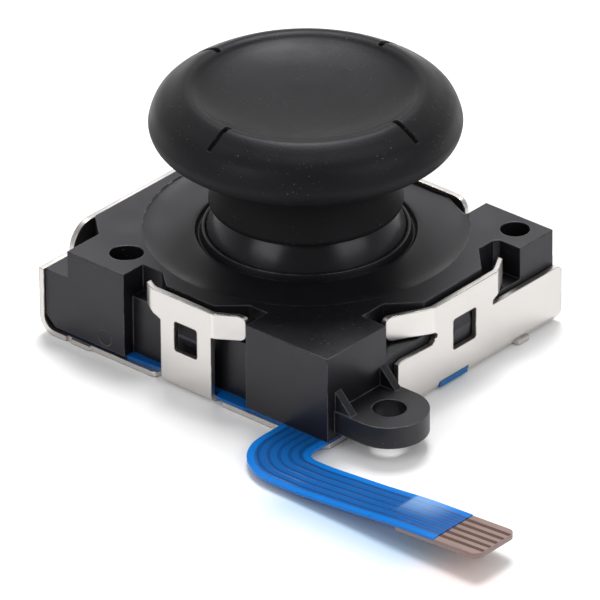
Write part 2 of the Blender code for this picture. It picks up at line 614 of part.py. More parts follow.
# Hub: pins along X, bore for the rod
hub = turned("pivot_hub", [(1.00, 4.15), (1.15, 4.0), (1.15, 3.5), (1.00, 3.35), (0.66, 3.35),
                           (0.66, 4.15)], 40, GREY)
join(hub, rod("hub_pin_a", 0.30, 0.95, 2.10, "X"), rod("hub_pin_b", 0.30, -2.10, -0.95, "X"))
baked(hub)


def bar(name, z0, turn, mat):
    """Slider: a bar along its length with a long slot, wide in its travel direction."""
    half = BAR_HALF
    slot_w = ROD_R + SLIDE_GAP
    outer = [(-half, -7.10), (half, -7.10), (half, 4.90), (-half, 4.90)]
    outer = [(-y, x) for x, y in outer] if turn else outer
    body = prism(name, outer, z0, z0 + BAR_H, mat)
    hole = (arc(0, 0.85, slot_w, 0, 180, 10) + arc(0, -0.85, slot_w, 180, 360, 10))
    hole = [(-y, x) for x, y in hole] if turn else hole
    cut(body, prism(name + "_slot", hole, z0 - 1, z0 + 1))
    return body


slider_x = bar("slider_x", X_BAR_Z, False, WHITE)
slider_y = bar("slider_y", Y_BAR_Z, True, WHITE)
join(slider_y, box("foot_y", 5.75, 7.10, -BAR_HALF, BAR_HALF, X_BAR_Z, Y_BAR_Z + 0.1))
for slider, height in ((slider_x, X_BAR_Z), (slider_y, Y_BAR_Z)):
    baked(slider)
    moved_origin(slider, 0, 0, height)


def wiper(name, turn):
    """Leaf under the slider end with two contact fingers reaching down to the tracks."""
    leaf = [(7.00, 0.97), (7.00, 0.89), (6.97, 0.55), (6.89, 0.55), (6.90, 0.89), (6.13, 0.89),
            (6.09, 0.55), (6.01, 0.55), (6.03, 0.89), (5.80, 0.89), (5.80, 0.97)]
    obj = prism(name, leaf, -0.60, 0.60, BRASS, "XZ")
    obj.data.transform(Matrix.Rotation(math.radians(turn), 4, "Z"))
    moved_origin(obj, 0, 0, X_BAR_Z)


wiper("wiper_x", -90)
wiper("wiper_y", 0)

# Return spring
WIRE_R = 0.14
TURNS = 3.25
LEDGE_POLAR = 72.2
LOW_END = DECK_TOP + 0.01 + WIRE_R
HIGH_END = sphere_point(DOME_R - DOME_WALL, LEDGE_POLAR)[1] - 0.012 - WIRE_R
SPRING_R = DOME_R - DOME_WALL - 0.66
count = int(20 * TURNS)
coil = bpy.data.curves.new("return_spring", "CURVE")
coil.dimensions = "3D"
coil.bevel_depth = WIRE_R * MM
coil.bevel_resolution = 2
coil.use_fill_caps = True
poly(coil, [(SPRING_R * math.cos(2 * math.pi * TURNS * i / count),
             SPRING_R * math.sin(2 * math.pi * TURNS * i / count),
             LOW_END + (HIGH_END - LOW_END) * i / count) for i in range(count + 1)], False)
placed("return_spring", from_curve("return_spring", coil, Matrix.Identity(4)), SPRING)

# Stick lever: post, polished dome with the spring ledge inside, rod down to the switch
outer = [sphere_point(DOME_R, p) for p in range(28, 89, 5)]
inner_r = DOME_R - DOME_WALL
seat_r = math.sqrt(DOME_R ** 2 - (SEAT_Z - PIVOT_Z) ** 2)
skirt = sphere_point(DOME_R, 88)
inner = [sphere_point(inner_r, p) for p in (88, 82, 77, LEDGE_POLAR)]
above = [sphere_point(inner_r, p) for p in (62, 52, 42, 32, 22)]
tip = [(ROD_R * math.cos(math.radians(a)), 1.48 - 0.35 * math.sin(math.radians(a)))
       for a in (0, 20, 40, 60, 78)]
lever_profile = ([(0, POST_TOP), (POST_R - 0.2, POST_TOP), (POST_R, POST_TOP - 0.2),
                  (POST_R, SEAT_Z), (seat_r, SEAT_Z)] + outer[1:-1] + [skirt] + inner
                 + [(inner_r - 1.03, inner[-1][1]), (inner_r - 1.03, above[0][1])] + above
                 + [(1.1, above[-1][1] - 0.1), (ROD_R, 7.6)] + tip + [(0, 1.13)])
lever = turned("stick_lever", lever_profile, 44, GLOSS, close=False)
# Flat on the post keys the cap
cut(lever, box("post_flat", 1.15, 3.0, -3, 3, SEAT_Z + 0.02, 13))
baked(lever)
moved_origin(lever, 0, 0, PIVOT_Z)

# Thumb cap: neck with a rim, mushroom head with a dished top and four marks
SOCKET_GAP = 0.03
cavity_r = DOME_R + 0.14
cavity = [sphere_point(cavity_r, p) for p in (27.6, 32, 37, 42, 47)]
mouth = [(NECK_R - 0.14, NECK_Z), (NECK_R - 0.14, NECK_Z + 0.14), (NECK_R - 0.20, NECK_Z + 0.28),
         (NECK_R - 0.40, NECK_Z + 0.48)]
cap_profile = ([(0, 12.55), (2.0, 12.60), (3.6, 12.74), (4.8, 12.95), (5.5, 13.16), (5.80, 13.30),
                (RIM_R, RIM_Z), (6.25, 13.33), (6.55, 13.21), (6.90, 13.01), (7.30, 12.76),
                (7.53, 12.56), (7.70, 12.36), (7.84, 12.10), (7.95, 11.80), (CAP_R, 11.40),
                (7.95, 10.98), (7.84, 10.78), (7.68, 10.61), (7.45, 10.46), (7.15, 10.32),
                (6.75, 10.19), (6.05, 9.98), (5.45, 9.66),
                (5.05, 9.22), (4.82, 8.70), (4.75, 8.20), (4.78, 7.75), (4.88, 7.36),
                (NECK_R - 0.04, NECK_Z + 0.36), (NECK_R, NECK_Z + 0.22), (NECK_R, NECK_Z + 0.10),
                (NECK_R - 0.05, NECK_Z)]
               + mouth + cavity[::-1]
               + [(POST_R + SOCKET_GAP, SEAT_Z + 0.05), (POST_R + SOCKET_GAP, POST_TOP + 0.10),
                  (0, POST_TOP + 0.10)])
cap = turned("thumb_cap", cap_profile, 44, RUBBER, close=False)
for number in range(4):
    slope = prism("mark_%d" % number, [(5.0, 12.92), (6.0, 13.22), (7.5, 12.10), (7.6, 14.0),
                                       (5.0, 14.0)], -0.16, 0.16, plane="XZ")
    slope.data.transform(Matrix.Rotation(math.radians(90 * number), 4, "Z"))
    cut(cap, slope)
key = box("key_flat", 1.18, 1.60, -1.2, 1.2, SEAT_Z + 0.3, POST_TOP + 0.15)
join(cap, key)
baked(cap)
moved_origin(cap, 0, 0, PIVOT_Z)
for name in ("gimbal_ring", "pivot_hub"):
    moved_origin(bpy.data.objects[name], 0, 0, PIVOT_Z)

for obj in group.objects:
    obj.data.shade_smooth()
    obj.data.set_sharp_from_angle(angle=math.radians(32))
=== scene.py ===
"""Looks of a low-profile analog stick module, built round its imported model, in metres."""

import json
import math

import bmesh
import bpy
import numpy as np
from mathutils import Matrix, Vector

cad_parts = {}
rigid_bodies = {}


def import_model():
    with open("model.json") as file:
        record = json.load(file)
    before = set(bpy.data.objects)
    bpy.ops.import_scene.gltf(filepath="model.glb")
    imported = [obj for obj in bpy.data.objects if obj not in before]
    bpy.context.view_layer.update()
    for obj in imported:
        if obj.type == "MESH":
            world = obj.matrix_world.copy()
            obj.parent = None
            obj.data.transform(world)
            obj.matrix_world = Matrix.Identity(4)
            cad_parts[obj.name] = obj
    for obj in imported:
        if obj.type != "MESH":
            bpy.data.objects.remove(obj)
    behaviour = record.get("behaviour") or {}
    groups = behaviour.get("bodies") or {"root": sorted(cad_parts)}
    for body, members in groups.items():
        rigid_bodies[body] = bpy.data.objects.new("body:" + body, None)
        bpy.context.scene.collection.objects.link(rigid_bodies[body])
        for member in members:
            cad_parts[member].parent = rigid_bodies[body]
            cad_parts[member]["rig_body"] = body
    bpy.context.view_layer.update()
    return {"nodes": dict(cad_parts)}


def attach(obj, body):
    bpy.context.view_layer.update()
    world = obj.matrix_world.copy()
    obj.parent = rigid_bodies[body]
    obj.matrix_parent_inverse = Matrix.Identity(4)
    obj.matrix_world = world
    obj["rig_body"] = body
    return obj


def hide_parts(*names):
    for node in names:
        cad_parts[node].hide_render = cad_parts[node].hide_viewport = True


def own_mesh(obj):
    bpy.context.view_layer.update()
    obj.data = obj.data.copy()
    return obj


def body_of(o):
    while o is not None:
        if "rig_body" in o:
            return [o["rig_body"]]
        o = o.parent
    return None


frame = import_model()

# Lengths are in mm and angles in degrees; MM turns a length into metres
MM = 0.001
PIVOT_Z = 3.75      # height of the two tilt axes
TOP_Z = 5.25        # top of the housing
SHEET = 0.30        # thickness of the base plate
FILM = 0.18         # thickness of the flex film
MERGE = 2e-7        # points nearer than this, in metres, are one point

VIEW_AZIMUTH, VIEW_ELEVATION, VIEW_ROLL = 41.06, 29.33, -0.375
AIM_HEIGHT, AIM_LEFT, AIM_DOWN = 4.0, 0.346, 2.751
LENS = 584.57
CAMERA_DISTANCE = 0.5       # in metres

scene = bpy.context.scene


def camera_at_photo():
    """Camera placed by azimuth, elevation, roll and aim point, far off with a long lens."""
    azimuth, elevation, roll = (math.radians(a)
                                for a in (VIEW_AZIMUTH, VIEW_ELEVATION, VIEW_ROLL))
    right = Vector((math.cos(azimuth), math.sin(azimuth), 0))
    back = Vector((math.sin(azimuth) * math.cos(elevation),
                   -math.cos(azimuth) * math.cos(elevation), math.sin(elevation)))
    up = back.cross(right)
    aim = (Vector((0, 0, AIM_HEIGHT)) - AIM_LEFT * right - AIM_DOWN * up) * MM
    side = right * math.cos(roll) + up * math.sin(roll)
    data = bpy.data.cameras.new("photo_camera")
    data.lens = LENS
    data.sensor_width = 36.0
    data.clip_start, data.clip_end = 0.01, 20.0
    made = bpy.data.objects.new("photo_camera", data)
    scene.collection.objects.link(made)
    turn = Matrix((side, back.cross(side), back)).transposed().to_4x4()
    made.matrix_world = Matrix.Translation(aim + back * CAMERA_DISTANCE) @ turn
    scene.camera = made


camera_at_photo()


# Shader building


def add(tree, kind, sockets=None, **settings):
    """A node with its settings; sockets gives each input its value or the socket feeding it."""
    made = tree.nodes.new(kind)
    for key, value in settings.items():
        setattr(made, key, value)
    for key, value in (sockets or {}).items():
        if isinstance(value, bpy.types.NodeSocket):
            tree.links.new(value, made.inputs[key])
        else:
            made.inputs[key].default_value = value
    return made


def maths(tree, operation, *values, clamp=False):
    """One Math node on values or sockets, as its output socket."""
    made = add(tree, "ShaderNodeMath", dict(enumerate(values)), operation=operation)
    made.use_clamp = clamp
    return made.outputs[0]


def blend_colour(tree, factor, first, second):
    """The first colour at factor 0 and the second at 1."""
    made = add(tree, "ShaderNodeMix", {0: factor, 6: first, 7: second}, data_type="RGBA")
    return made.outputs[2]


def ramp(tree, value, low, high, to_low=0.0, to_high=1.0):
    """A smooth step of the value from to_low at low to to_high at high."""
    made = add(tree, "ShaderNodeMapRange", {"Value": value, "From Min": low, "From Max": high,
                                            "To Min": to_low, "To Max": to_high},
               interpolation_type="SMOOTHSTEP")
    return made.outputs[0]


def shared_group(name, inputs, outputs):
    """An empty node group with float inputs (name: default) and typed outputs."""
    tree = bpy.data.node_groups.new(name, "ShaderNodeTree")
    for label, value in inputs.items():
        socket = tree.interface.new_socket(label, in_out="INPUT", socket_type="NodeSocketFloat")
        socket.default_value = value
    for label, kind in outputs.items():
        tree.interface.new_socket(label, in_out="OUTPUT", socket_type="NodeSocket" + kind)
    return tree, tree.nodes.new("NodeGroupInput").outputs, tree.nodes.new("NodeGroupOutput")


def grain_group():
    """Fine moulding texture and broad unevenness: two noises of the object's own place."""
    tree, given, out = shared_group("moulding_grain", {"Grain": 9000.0, "Broad": 350.0},
                                    {"Height": "Float", "Patches": "Float"})
    place = add(tree, "ShaderNodeTexCoord").outputs["Object"]
    fine = add(tree, "ShaderNodeTexNoise", {"Vector": place, "Scale": given["Grain"],
                                            "Detail": 3.0, "Roughness": 0.6})
    broad = add(tree, "ShaderNodeTexNoise", {"Vector": place, "Scale": given["Broad"],
                                             "Detail": 4.0, "Roughness": 0.55})
    tree.links.new(fine.outputs[0], out.inputs["Height"])
    tree.links.new(broad.outputs[0], out.inputs["Patches"])
    return tree


def dust_group():
    """Small light specks: cells whose random number is high, near their centre."""
    tree, given, out = shared_group("dust_specks",
                                    {"Cells": 6500.0, "Size": 0.26, "Share": 0.2},
                                    {"Mask": "Float"})
    place = add(tree, "ShaderNodeTexCoord").outputs["Object"]
    cells = add(tree, "ShaderNodeTexVoronoi", {"Vector": place, "Scale": given["Cells"]})
    pick = add(tree, "ShaderNodeSeparateColor", {0: cells.outputs["Color"]})
    clump = add(tree, "ShaderNodeTexNoise", {"Vector": place, "Scale": 420.0, "Detail": 2.0})
    bound = maths(tree, "SUBTRACT", 1.0, given["Share"])
    chosen = maths(tree, "GREATER_THAN", pick.outputs[0], bound)
    width = maths(tree, "MULTIPLY", given["Size"], pick.outputs[1])
    near = maths(tree, "LESS_THAN", cells.outputs["Distance"], width)
    here = ramp(tree, clump.outputs[0], 0.44, 0.60)
    spot = maths(tree, "MULTIPLY", maths(tree, "MULTIPLY", chosen, near), here)
    tree.links.new(spot, out.inputs["Mask"])
    return tree


def edge_group():
    """Rounded normal of sharp edges, and a broken mask along them where it departs."""
    tree, given, out = shared_group("soft_edges", {"Radius": 0.00005, "Gain": 6.0},
                                    {"Normal": "Vector", "EdgeWearAndPaintedLight": "Float"})
    rounded = add(tree, "ShaderNodeBevel", {"Radius": given["Radius"]}, samples=8)
    plain = add(tree, "ShaderNodeNewGeometry").outputs["Normal"]
    dot = add(tree, "ShaderNodeVectorMath", {0: rounded.outputs[0], 1: plain},
              operation="DOT_PRODUCT").outputs["Value"]
    away = maths(tree, "MULTIPLY", maths(tree, "SUBTRACT", 1.0, dot), given["Gain"], clamp=True)
    place = add(tree, "ShaderNodeTexCoord").outputs["Object"]
    rough = add(tree, "ShaderNodeTexNoise", {"Vector": place, "Scale": 1500.0, "Detail": 3.0})
    mask = maths(tree, "MULTIPLY", away, ramp(tree, rough.outputs[0], 0.30, 0.56))
    tree.links.new(rounded.outputs[0], out.inputs["Normal"])
    tree.links.new(mask, out.inputs["EdgeWearAndPaintedLight"])
    return tree


def drawn_group():
    """Rolling and drawing lines of sheet and wire: noise stretched along the upright."""
    tree, given, out = shared_group("drawn_lines", {"Across": 16000.0, "Along": 700.0},
                                    {"Lines": "Float", "Clouds": "Float"})
    place = add(tree, "ShaderNodeTexCoord").outputs["Object"]
    apart = add(tree, "ShaderNodeSeparateXYZ", {0: place})
    spread = add(tree, "ShaderNodeCombineXYZ",
                 {0: maths(tree, "MULTIPLY", apart.outputs[0], given["Across"]),
                  1: maths(tree, "MULTIPLY", apart.outputs[1], given["Across"]),
                  2: maths(tree, "MULTIPLY", apart.outputs[2], given["Along"])})
    lines = add(tree, "ShaderNodeTexNoise", {"Vector": spread.outputs[0], "Scale": 1.0,
                                             "Detail": 2.0})
    clouds = add(tree, "ShaderNodeTexNoise", {"Vector": place, "Scale": 500.0, "Detail": 4.0})
    tree.links.new(lines.outputs[0], out.inputs["Lines"])
    tree.links.new(clouds.outputs[0], out.inputs["Clouds"])
    return tree


GRAIN = grain_group()
DUST = dust_group()
EDGES = edge_group()
DRAWN = drawn_group()


def use(tree, group, sockets=None):
    """A shared group placed in a material with its own values; gives its outputs."""
    made = add(tree, "ShaderNodeGroup", node_tree=group)
    for key, value in (sockets or {}).items():
        made.inputs[key].default_value = value
    return made.outputs


def finish(name, **sockets):
    """A material, its tree and its Principled shader, which holds the constant values."""
    made = bpy.data.materials.new(name)
    made.use_nodes = True
    tree = made.node_tree
    shader = tree.nodes["Principled BSDF"]
    for key, value in sockets.items():
        shader.inputs[key.replace("_", " ")].default_value = value
    return made, tree, shader


EDGE_MASK_GAIN = 6.0             # how fast a bent normal counts as an edge mark, partly wear and partly painted edge highlight and shade
MATT_MORE = 0.26            # roughness added where hands don't reach
SPECK_COLOUR = [0.12, 0.115, 0.115, 1.0]


def moulded(name, colour, edge_wear_and_highlight, rough, grain, bump, radius, gain=EDGE_MASK_GAIN, dust=0.0,
            handled=None, **sockets):
    """Moulded plastic or rubber: grain in the bump, patches in the gloss, lighter edges that
    are partly wear and partly a painted edge highlight, dust.
    Between the two heights of handled, in mm, it turns from matt to the gloss of use."""
    made, tree, shader = finish(name, **sockets)
    texture = use(tree, GRAIN, {"Grain": grain})
    edges = use(tree, EDGES, {"Radius": radius * MM, "Gain": gain})
    low, high = ([c * k for c in colour] + [1.0] for k in (0.90, 1.12))
    base = blend_colour(tree, texture["Patches"], low, high)
    # Lighter edges: partly wear, partly a painted highlight along sharp edges
    base = blend_colour(tree, edges["EdgeWearAndPaintedLight"], base, [*edge_wear_and_highlight, 1.0])
    gloss = ramp(tree, texture["Patches"], 0.3, 0.7, rough - 0.05, rough + 0.05)
    if handled:
        place = add(tree, "ShaderNodeTexCoord").outputs["Object"]
        height = add(tree, "ShaderNodeSeparateXYZ", {0: place}).outputs[2]
        matt = ramp(tree, height, handled[0] * MM, handled[1] * MM, MATT_MORE, 0.0)
        gloss = maths(tree, "ADD", gloss, matt)
    if dust:
        specks = use(tree, DUST, {"Share": dust})["Mask"]
        base = blend_colour(tree, maths(tree, "MULTIPLY", specks, 0.5), base, SPECK_COLOUR)
        gloss = maths(tree, "ADD", gloss, maths(tree, "MULTIPLY", specks, 0.3), clamp=True)
    relief = add(tree, "ShaderNodeBump", {"Strength": bump, "Distance": 0.00002,
                                          "Height": texture["Height"],
                                          "Normal": edges["Normal"]})
    tree.links.new(base, shader.inputs["Base Color"])
    tree.links.new(gloss, shader.inputs["Roughness"])
    tree.links.new(relief.outputs[0], shader.inputs["Normal"])
    return made


def plated(name, colour, edge, rough, bump, radius):
    """Plated or bare metal: drawn lines in bump and gloss, and darker edges, partly the bare
    cut edge and partly a painted shade outline.
    """
    made, tree, shader = finish(name, Metallic=1.0)
    texture = use(tree, DRAWN, {"Across": 16000.0, "Along": 700.0})
    edges = use(tree, EDGES, {"Radius": radius * MM, "Gain": EDGE_MASK_GAIN})
    low, high = ([c * k for c in colour] + [1.0] for k in (0.95, 1.03))
    base = blend_colour(tree, texture["Clouds"], low, high)
    # Darker edges: partly the bare cut edge, partly a painted shade outline
    base = blend_colour(tree, edges["EdgeWearAndPaintedLight"], base, [*edge, 1.0])
    gloss = ramp(tree, texture["Clouds"], 0.3, 0.7, rough - 0.04, rough + 0.05)
    gloss = maths(tree, "ADD", gloss, maths(tree, "MULTIPLY", texture["Lines"], 0.06))
    relief = add(tree, "ShaderNodeBump", {"Strength": bump, "Distance": 0.00001,
                                          "Height": texture["Lines"],
                                          "Normal": edges["Normal"]})
    tree.links.new(base, shader.inputs["Base Color"])
    tree.links.new(gloss, shader.inputs["Roughness"])
    tree.links.new(relief.outputs[0], shader.inputs["Normal"])
    return made


COOL = (0.93, 0.92, 1.0, 1.0)       # tint of the gloss on the black pieces
SHELL = moulded("black_shell", (0.0066, 0.0064, 0.0076), edge_wear_and_highlight=(0.080, 0.080, 0.086),
                rough=0.37, grain=14000.0, bump=0.10, radius=0.09, gain=8.0, dust=0.22,
                Specular_IOR_Level=0.42, Specular_Tint=COOL)
RUBBER = moulded("cap_rubber", (0.0100, 0.0098, 0.0106), edge_wear_and_highlight=(0.024, 0.024, 0.025),
                 rough=0.38, grain=9500.0, bump=0.42, radius=0.04, dust=0.60,
                 handled=(9.8, 12.7), Specular_IOR_Level=0.12, Specular_Tint=COOL)
POLISHED = moulded("polished_dome", (0.0065, 0.0065, 0.0072), edge_wear_and_highlight=(0.02, 0.02, 0.02),
                   rough=0.28, grain=9000.0, bump=0.03, radius=0.03,
                   Specular_IOR_Level=0.38, Specular_Tint=COOL)
ACETAL = moulded("white_acetal", (0.78, 0.77, 0.73), edge_wear_and_highlight=(0.85, 0.84, 0.80),
                 rough=0.42, grain=9000.0, bump=0.06, radius=0.04)
BEARING = moulded("grey_resin", (0.17, 0.18, 0.19), edge_wear_and_highlight=(0.28, 0.29, 0.30),
                  rough=0.45, grain=12000.0, bump=0.10, radius=0.04)
INK = moulded("carbon_ink", (0.014, 0.014, 0.015), edge_wear_and_highlight=(0.03, 0.03, 0.03),
              rough=0.66, grain=22000.0, bump=0.35, radius=0.01)
BARE = moulded("bare_film", (0.235, 0.155, 0.138), edge_wear_and_highlight=(0.36, 0.26, 0.23),
               rough=0.34, grain=6000.0, bump=0.05, radius=0.01, Coat_Weight=0.2)
NICKEL = plated("nickel_sheet", (0.675, 0.650, 0.625), edge=(0.25, 0.215, 0.195),
                rough=0.30, bump=0.10, radius=0.09)
SPRING = plated("spring_wire", (0.60, 0.60, 0.61), edge=(0.45, 0.45, 0.45),
                rough=0.26, bump=0.10, radius=0.02)
SNAP = plated("snap_sheet", (0.75, 0.74, 0.72), edge=(0.6, 0.6, 0.6),
              rough=0.22, bump=0.06, radius=0.02)
WIPER = plated("wiper_alloy", (0.80, 0.63, 0.33), edge=(0.6, 0.45, 0.25),
               rough=0.24, bump=0.08, radius=0.02)
CONTACT = plated("contact_strip", (0.085, 0.052, 0.042), edge=(0.08, 0.05, 0.04),
                 rough=0.45, bump=0.12, radius=0.01)
TRACK = plated("silver_track", (0.62, 0.60, 0.57), edge=(0.5, 0.5, 0.5),
               rough=0.42, bump=0.2, radius=0.01)

# Colour of the painted sheen, a painted reflection on the tail film
PAINTED_SHEEN_BLUE = (0.32, 0.52, 0.80, 1)


def film_finish(name, margin, middle, line=None):
    """Flex film, patchy between its two blues. With a line colour it is the tail, whose map
    gives the share across and the place along it in mm: bright margins, a deeper middle, dark
    lines at each sixth of the width, and a painted sheen, a pale painted reflection, over the
    stiffener's start."""
    made, tree, shader = finish(name, Coat_Weight=0.10, Coat_Roughness=0.10,
                                Specular_IOR_Level=0.30)
    texture = use(tree, GRAIN, {"Grain": 7000.0})
    if line:
        map_point = add(tree, "ShaderNodeUVMap").outputs[0]
        across, along, _ = add(tree, "ShaderNodeSeparateXYZ", {0: map_point}).outputs
        side = maths(tree, "ABSOLUTE", maths(tree, "SUBTRACT", across, 0.5))
        inside = ramp(tree, side, 0.365, 0.405, 1.0, 0.0)
        base = blend_colour(tree, inside, margin, middle)
        step = maths(tree, "FRACT", maths(tree, "MULTIPLY", across, 6.0))
        near = maths(tree, "MINIMUM", step, maths(tree, "SUBTRACT", 1.0, step))
        dark = maths(tree, "MULTIPLY", ramp(tree, near, 0.12, 0.24, 1.0, 0.0), inside)
        base = blend_colour(tree, dark, base, line)
        # Painted sheen: a pale patch over the stiffener's start stands in for a reflection
        start = ramp(tree, along, 17.2, 17.5)
        end = ramp(tree, along, 18.0, 20.4, 1.0, 0.0)
        upper = ramp(tree, across, 0.30, 0.85)
        sheen = maths(tree, "MULTIPLY", maths(tree, "MULTIPLY", start, end), upper)
        base = blend_colour(tree, maths(tree, "MULTIPLY", sheen, 0.5), base, PAINTED_SHEEN_BLUE)
    else:
        base = blend_colour(tree, texture["Patches"], margin, middle)
    gloss = ramp(tree, texture["Patches"], 0.3, 0.7, 0.24, 0.30)
    relief = add(tree, "ShaderNodeBump", {"Strength": 0.05, "Distance": 0.00001,
                                          "Height": texture["Height"]})
    tree.links.new(base, shader.inputs["Base Color"])
    tree.links.new(gloss, shader.inputs["Roughness"])
    tree.links.new(relief.outputs[0], shader.inputs["Normal"])
    return made


BLUE_TAIL = film_finish("blue_tail_film", (0.002, 0.160, 0.56, 1), (0.003, 0.092, 0.33, 1),
                        (0.003, 0.060, 0.23, 1))
# The sheet under the housing and the tab are dimmer copies of the tail's film blues: painted
# shade
SHADED_BLUE_SHEET = film_finish("blue_sheet_film_painted_shade", (0.003, 0.110, 0.40, 1), (0.003, 0.065, 0.24, 1))
SHADED_BLUE_TAB = film_finish("blue_tab_film_painted_shade", (0.003, 0.125, 0.36, 1), (0.003, 0.10, 0.30, 1))


# Surfaces

SMOOTH_BELOW = 32.0      # edges of made pieces that bend less than this are smooth
KEPT_SMOOTH_BELOW = 28.0


def grid_faces(rows, columns):
    """Four-sided faces between neighbouring rows and columns, the last column joined to the
    first."""
    row, column = np.meshgrid(np.arange(rows - 1), np.arange(columns), indexing="ij")
    after = (column + 1) % columns
    corners = (row * columns + column, row * columns + after,
               (row + 1) * columns + after, (row + 1) * columns + column)
    return np.stack(corners, -1).reshape(-1, 4)


def new_mesh(name, points, faces, ends=(), uv=None):
    """A closed mesh from points and faces: doubles merged, faces out, smooth by angle."""
    mesh = bpy.data.meshes.new(name)
    caps = [list(end) for end in ends]
    mesh.from_pydata(points.reshape(-1, 3).tolist(), [], faces.tolist() + caps)
    if uv is not None:
        spots = np.empty(len(mesh.loops), np.int32)
        mesh.loops.foreach_get("vertex_index", spots)
        layer = mesh.uv_layers.new(name="UVMap")
        layer.uv.foreach_set("vector", uv.reshape(-1, 2)[spots].ravel())
    return cleaned(mesh)


def cleaned(mesh):
    """The mesh without doubles or slivers, its faces outwards, shaded by angle."""
    bm = bmesh.new()
    bm.from_mesh(mesh)
    bmesh.ops.remove_doubles(bm, verts=bm.verts, dist=MERGE)
    bmesh.ops.dissolve_degenerate(bm, edges=bm.edges, dist=1e-8)
    bmesh.ops.recalc_face_normals(bm, faces=bm.faces)
    bm.to_mesh(mesh)
    bm.free()
    mesh.shade_smooth()
    mesh.set_sharp_from_angle(angle=math.radians(SMOOTH_BELOW))
    return mesh


def put(name, mesh, finish_of, body, slot, *stands_for):
    """Links a finished mesh as a piece that rides on a body and may stand for CAD nodes."""
    made = bpy.data.objects.new(name, mesh)
    scene.collection.objects.link(made)
    mesh.materials.clear()
    mesh.materials.append(finish_of)
    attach(made, body)
    if stands_for:
        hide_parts(*stands_for)
    return made


def smooth_line(points, per_span):
    """Catmull-Rom line through the points: each span is the cubic whose end slopes are half the
    chord between its neighbours."""
    p = np.array(points, float)
    p = np.vstack([2 * p[0] - p[1], p, 2 * p[-1] - p[-2]])
    t = np.linspace(0, 1, per_span, endpoint=False)[None, :, None]
    a, b, c, d = (p[k:len(p) - 3 + k, None] for k in range(4))
    line = 0.5 * (2 * b + (c - a) * t + (2 * a - 5 * b + 4 * c - d) * t ** 2
                  + (3 * b - a - 3 * c + d) * t ** 3)
    return np.vstack([line.reshape(-1, p.shape[1]), p[-2]])


def step_up(value, low, high):
    """0 below low, 1 above high, and the cubic 3t^2 - 2t^3 between."""
    t = np.clip((value - low) / (high - low), 0, 1)
    return t * t * (3 - 2 * t)


def turned(profile, angles):
    """Point (r, z) of the profile at angle a is (r cos a, r sin a, z), in metres."""
    r, z = profile[:, 0, None], profile[:, 1, None]
    return np.stack([r * np.cos(angles), r * np.sin(angles), z + 0 * angles], -1) * MM


def on_sphere(radius, polar):
    """Points (r, z) of a circle about the pivot at polar angles in degrees."""
    p = np.radians(polar)
    return np.stack([radius * np.sin(p), PIVOT_Z + radius * np.cos(p)], -1)


def ring_angles(per_quarter, dense, half):
    """Angles round a full turn, crowded within half of each quarter's start."""
    mark = np.linspace(-half, half, dense)
    rest = np.linspace(half, math.pi / 2 - half, per_quarter)[1:-1]
    quarter = np.concatenate([mark, rest])
    return np.concatenate([quarter + k * math.pi / 2 for k in range(4)])


# Cap and stick, as profiles (radius, height)

CAP_DISH = [(0, 12.55), (1.0, 12.56), (2.0, 12.60), (3.6, 12.73), (4.8, 12.94), (5.45, 13.14),
            (5.78, 13.30)]
CAP_RIM = [(6.00, 13.36), (6.25, 13.335), (6.55, 13.21), (6.90, 13.01), (7.30, 12.76),
           (7.53, 12.56), (7.70, 12.36), (7.84, 12.10), (7.95, 11.80), (8.02, 11.54),
           (8.04, 11.38), (8.02, 11.20), (7.95, 10.98), (7.84, 10.78), (7.68, 10.61),
           (7.45, 10.46), (7.15, 10.32), (6.75, 10.19)]
CAP_NECK = [(6.05, 9.98), (5.45, 9.66), (5.05, 9.22), (4.82, 8.70), (4.75, 8.20), (4.78, 7.75),
            (4.88, 7.36)]
CAP_FOOT = [(4.99, 7.08), (5.02, 6.97), (5.00, 6.84), (4.95, 6.763), (4.88, 6.763),
            (4.88, 6.903), (4.82, 7.043), (4.62, 7.243)]
CAP_CAVITY_R = 5.52
SOCKET_R, SOCKET_LOW, SOCKET_TOP = 1.63, 8.65, 11.50
# The cap's marks: each pair is where a wall of the mark begins and ends
MARK_SIDE = (0.10, 0.17)
MARK_START, MARK_END = (5.78, 5.96), (7.26, 7.50)
MARK_DEPTH, MARK_ABOVE = 0.26, 11.9

DOME_R, DOME_INSIDE = 5.38, 4.88
POST_R, POST_LOW, POST_TOP, POST_CHAMFER = 1.60, 8.60, 11.40, 0.20
LEDGE_R, ROD_R, ROD_TOP = 3.85, 0.60, 7.6
TIP_Z, TIP_DROP = 1.48, 0.35


def thumb_cap():
    """Turned mushroom head and neck; four marks sink its rim where the distance from an axis
    plane is under half the mark's width and the radius lies between the mark's ends."""
    head = smooth_line(CAP_DISH + CAP_RIM + CAP_NECK + CAP_FOOT, 5)
    cavity = on_sphere(CAP_CAVITY_R, np.linspace(47, 27.6, 10))
    socket = np.array([(SOCKET_R, SOCKET_LOW), (SOCKET_R, SOCKET_TOP), (0, SOCKET_TOP)])
    profile = np.vstack([head, cavity, socket])
    angles = ring_angles(46, 21, 0.045)
    points = turned(profile, angles)
    radius = np.hypot(points[..., 0], points[..., 1])
    off_plane = np.minimum(abs(points[..., 0]), abs(points[..., 1]))
    width = 1 - step_up(off_plane, *(MM * side for side in MARK_SIDE))
    begun = step_up(radius, *(MM * r for r in MARK_START))
    ended = step_up(radius, *(MM * r for r in MARK_END))
    upper = points[..., 2] > MARK_ABOVE * MM
    points[..., 2] -= MARK_DEPTH * MM * width * (begun * (1 - ended)) * upper
    return new_mesh("thumb_cap_skin", points, grid_faces(len(profile), len(angles)))


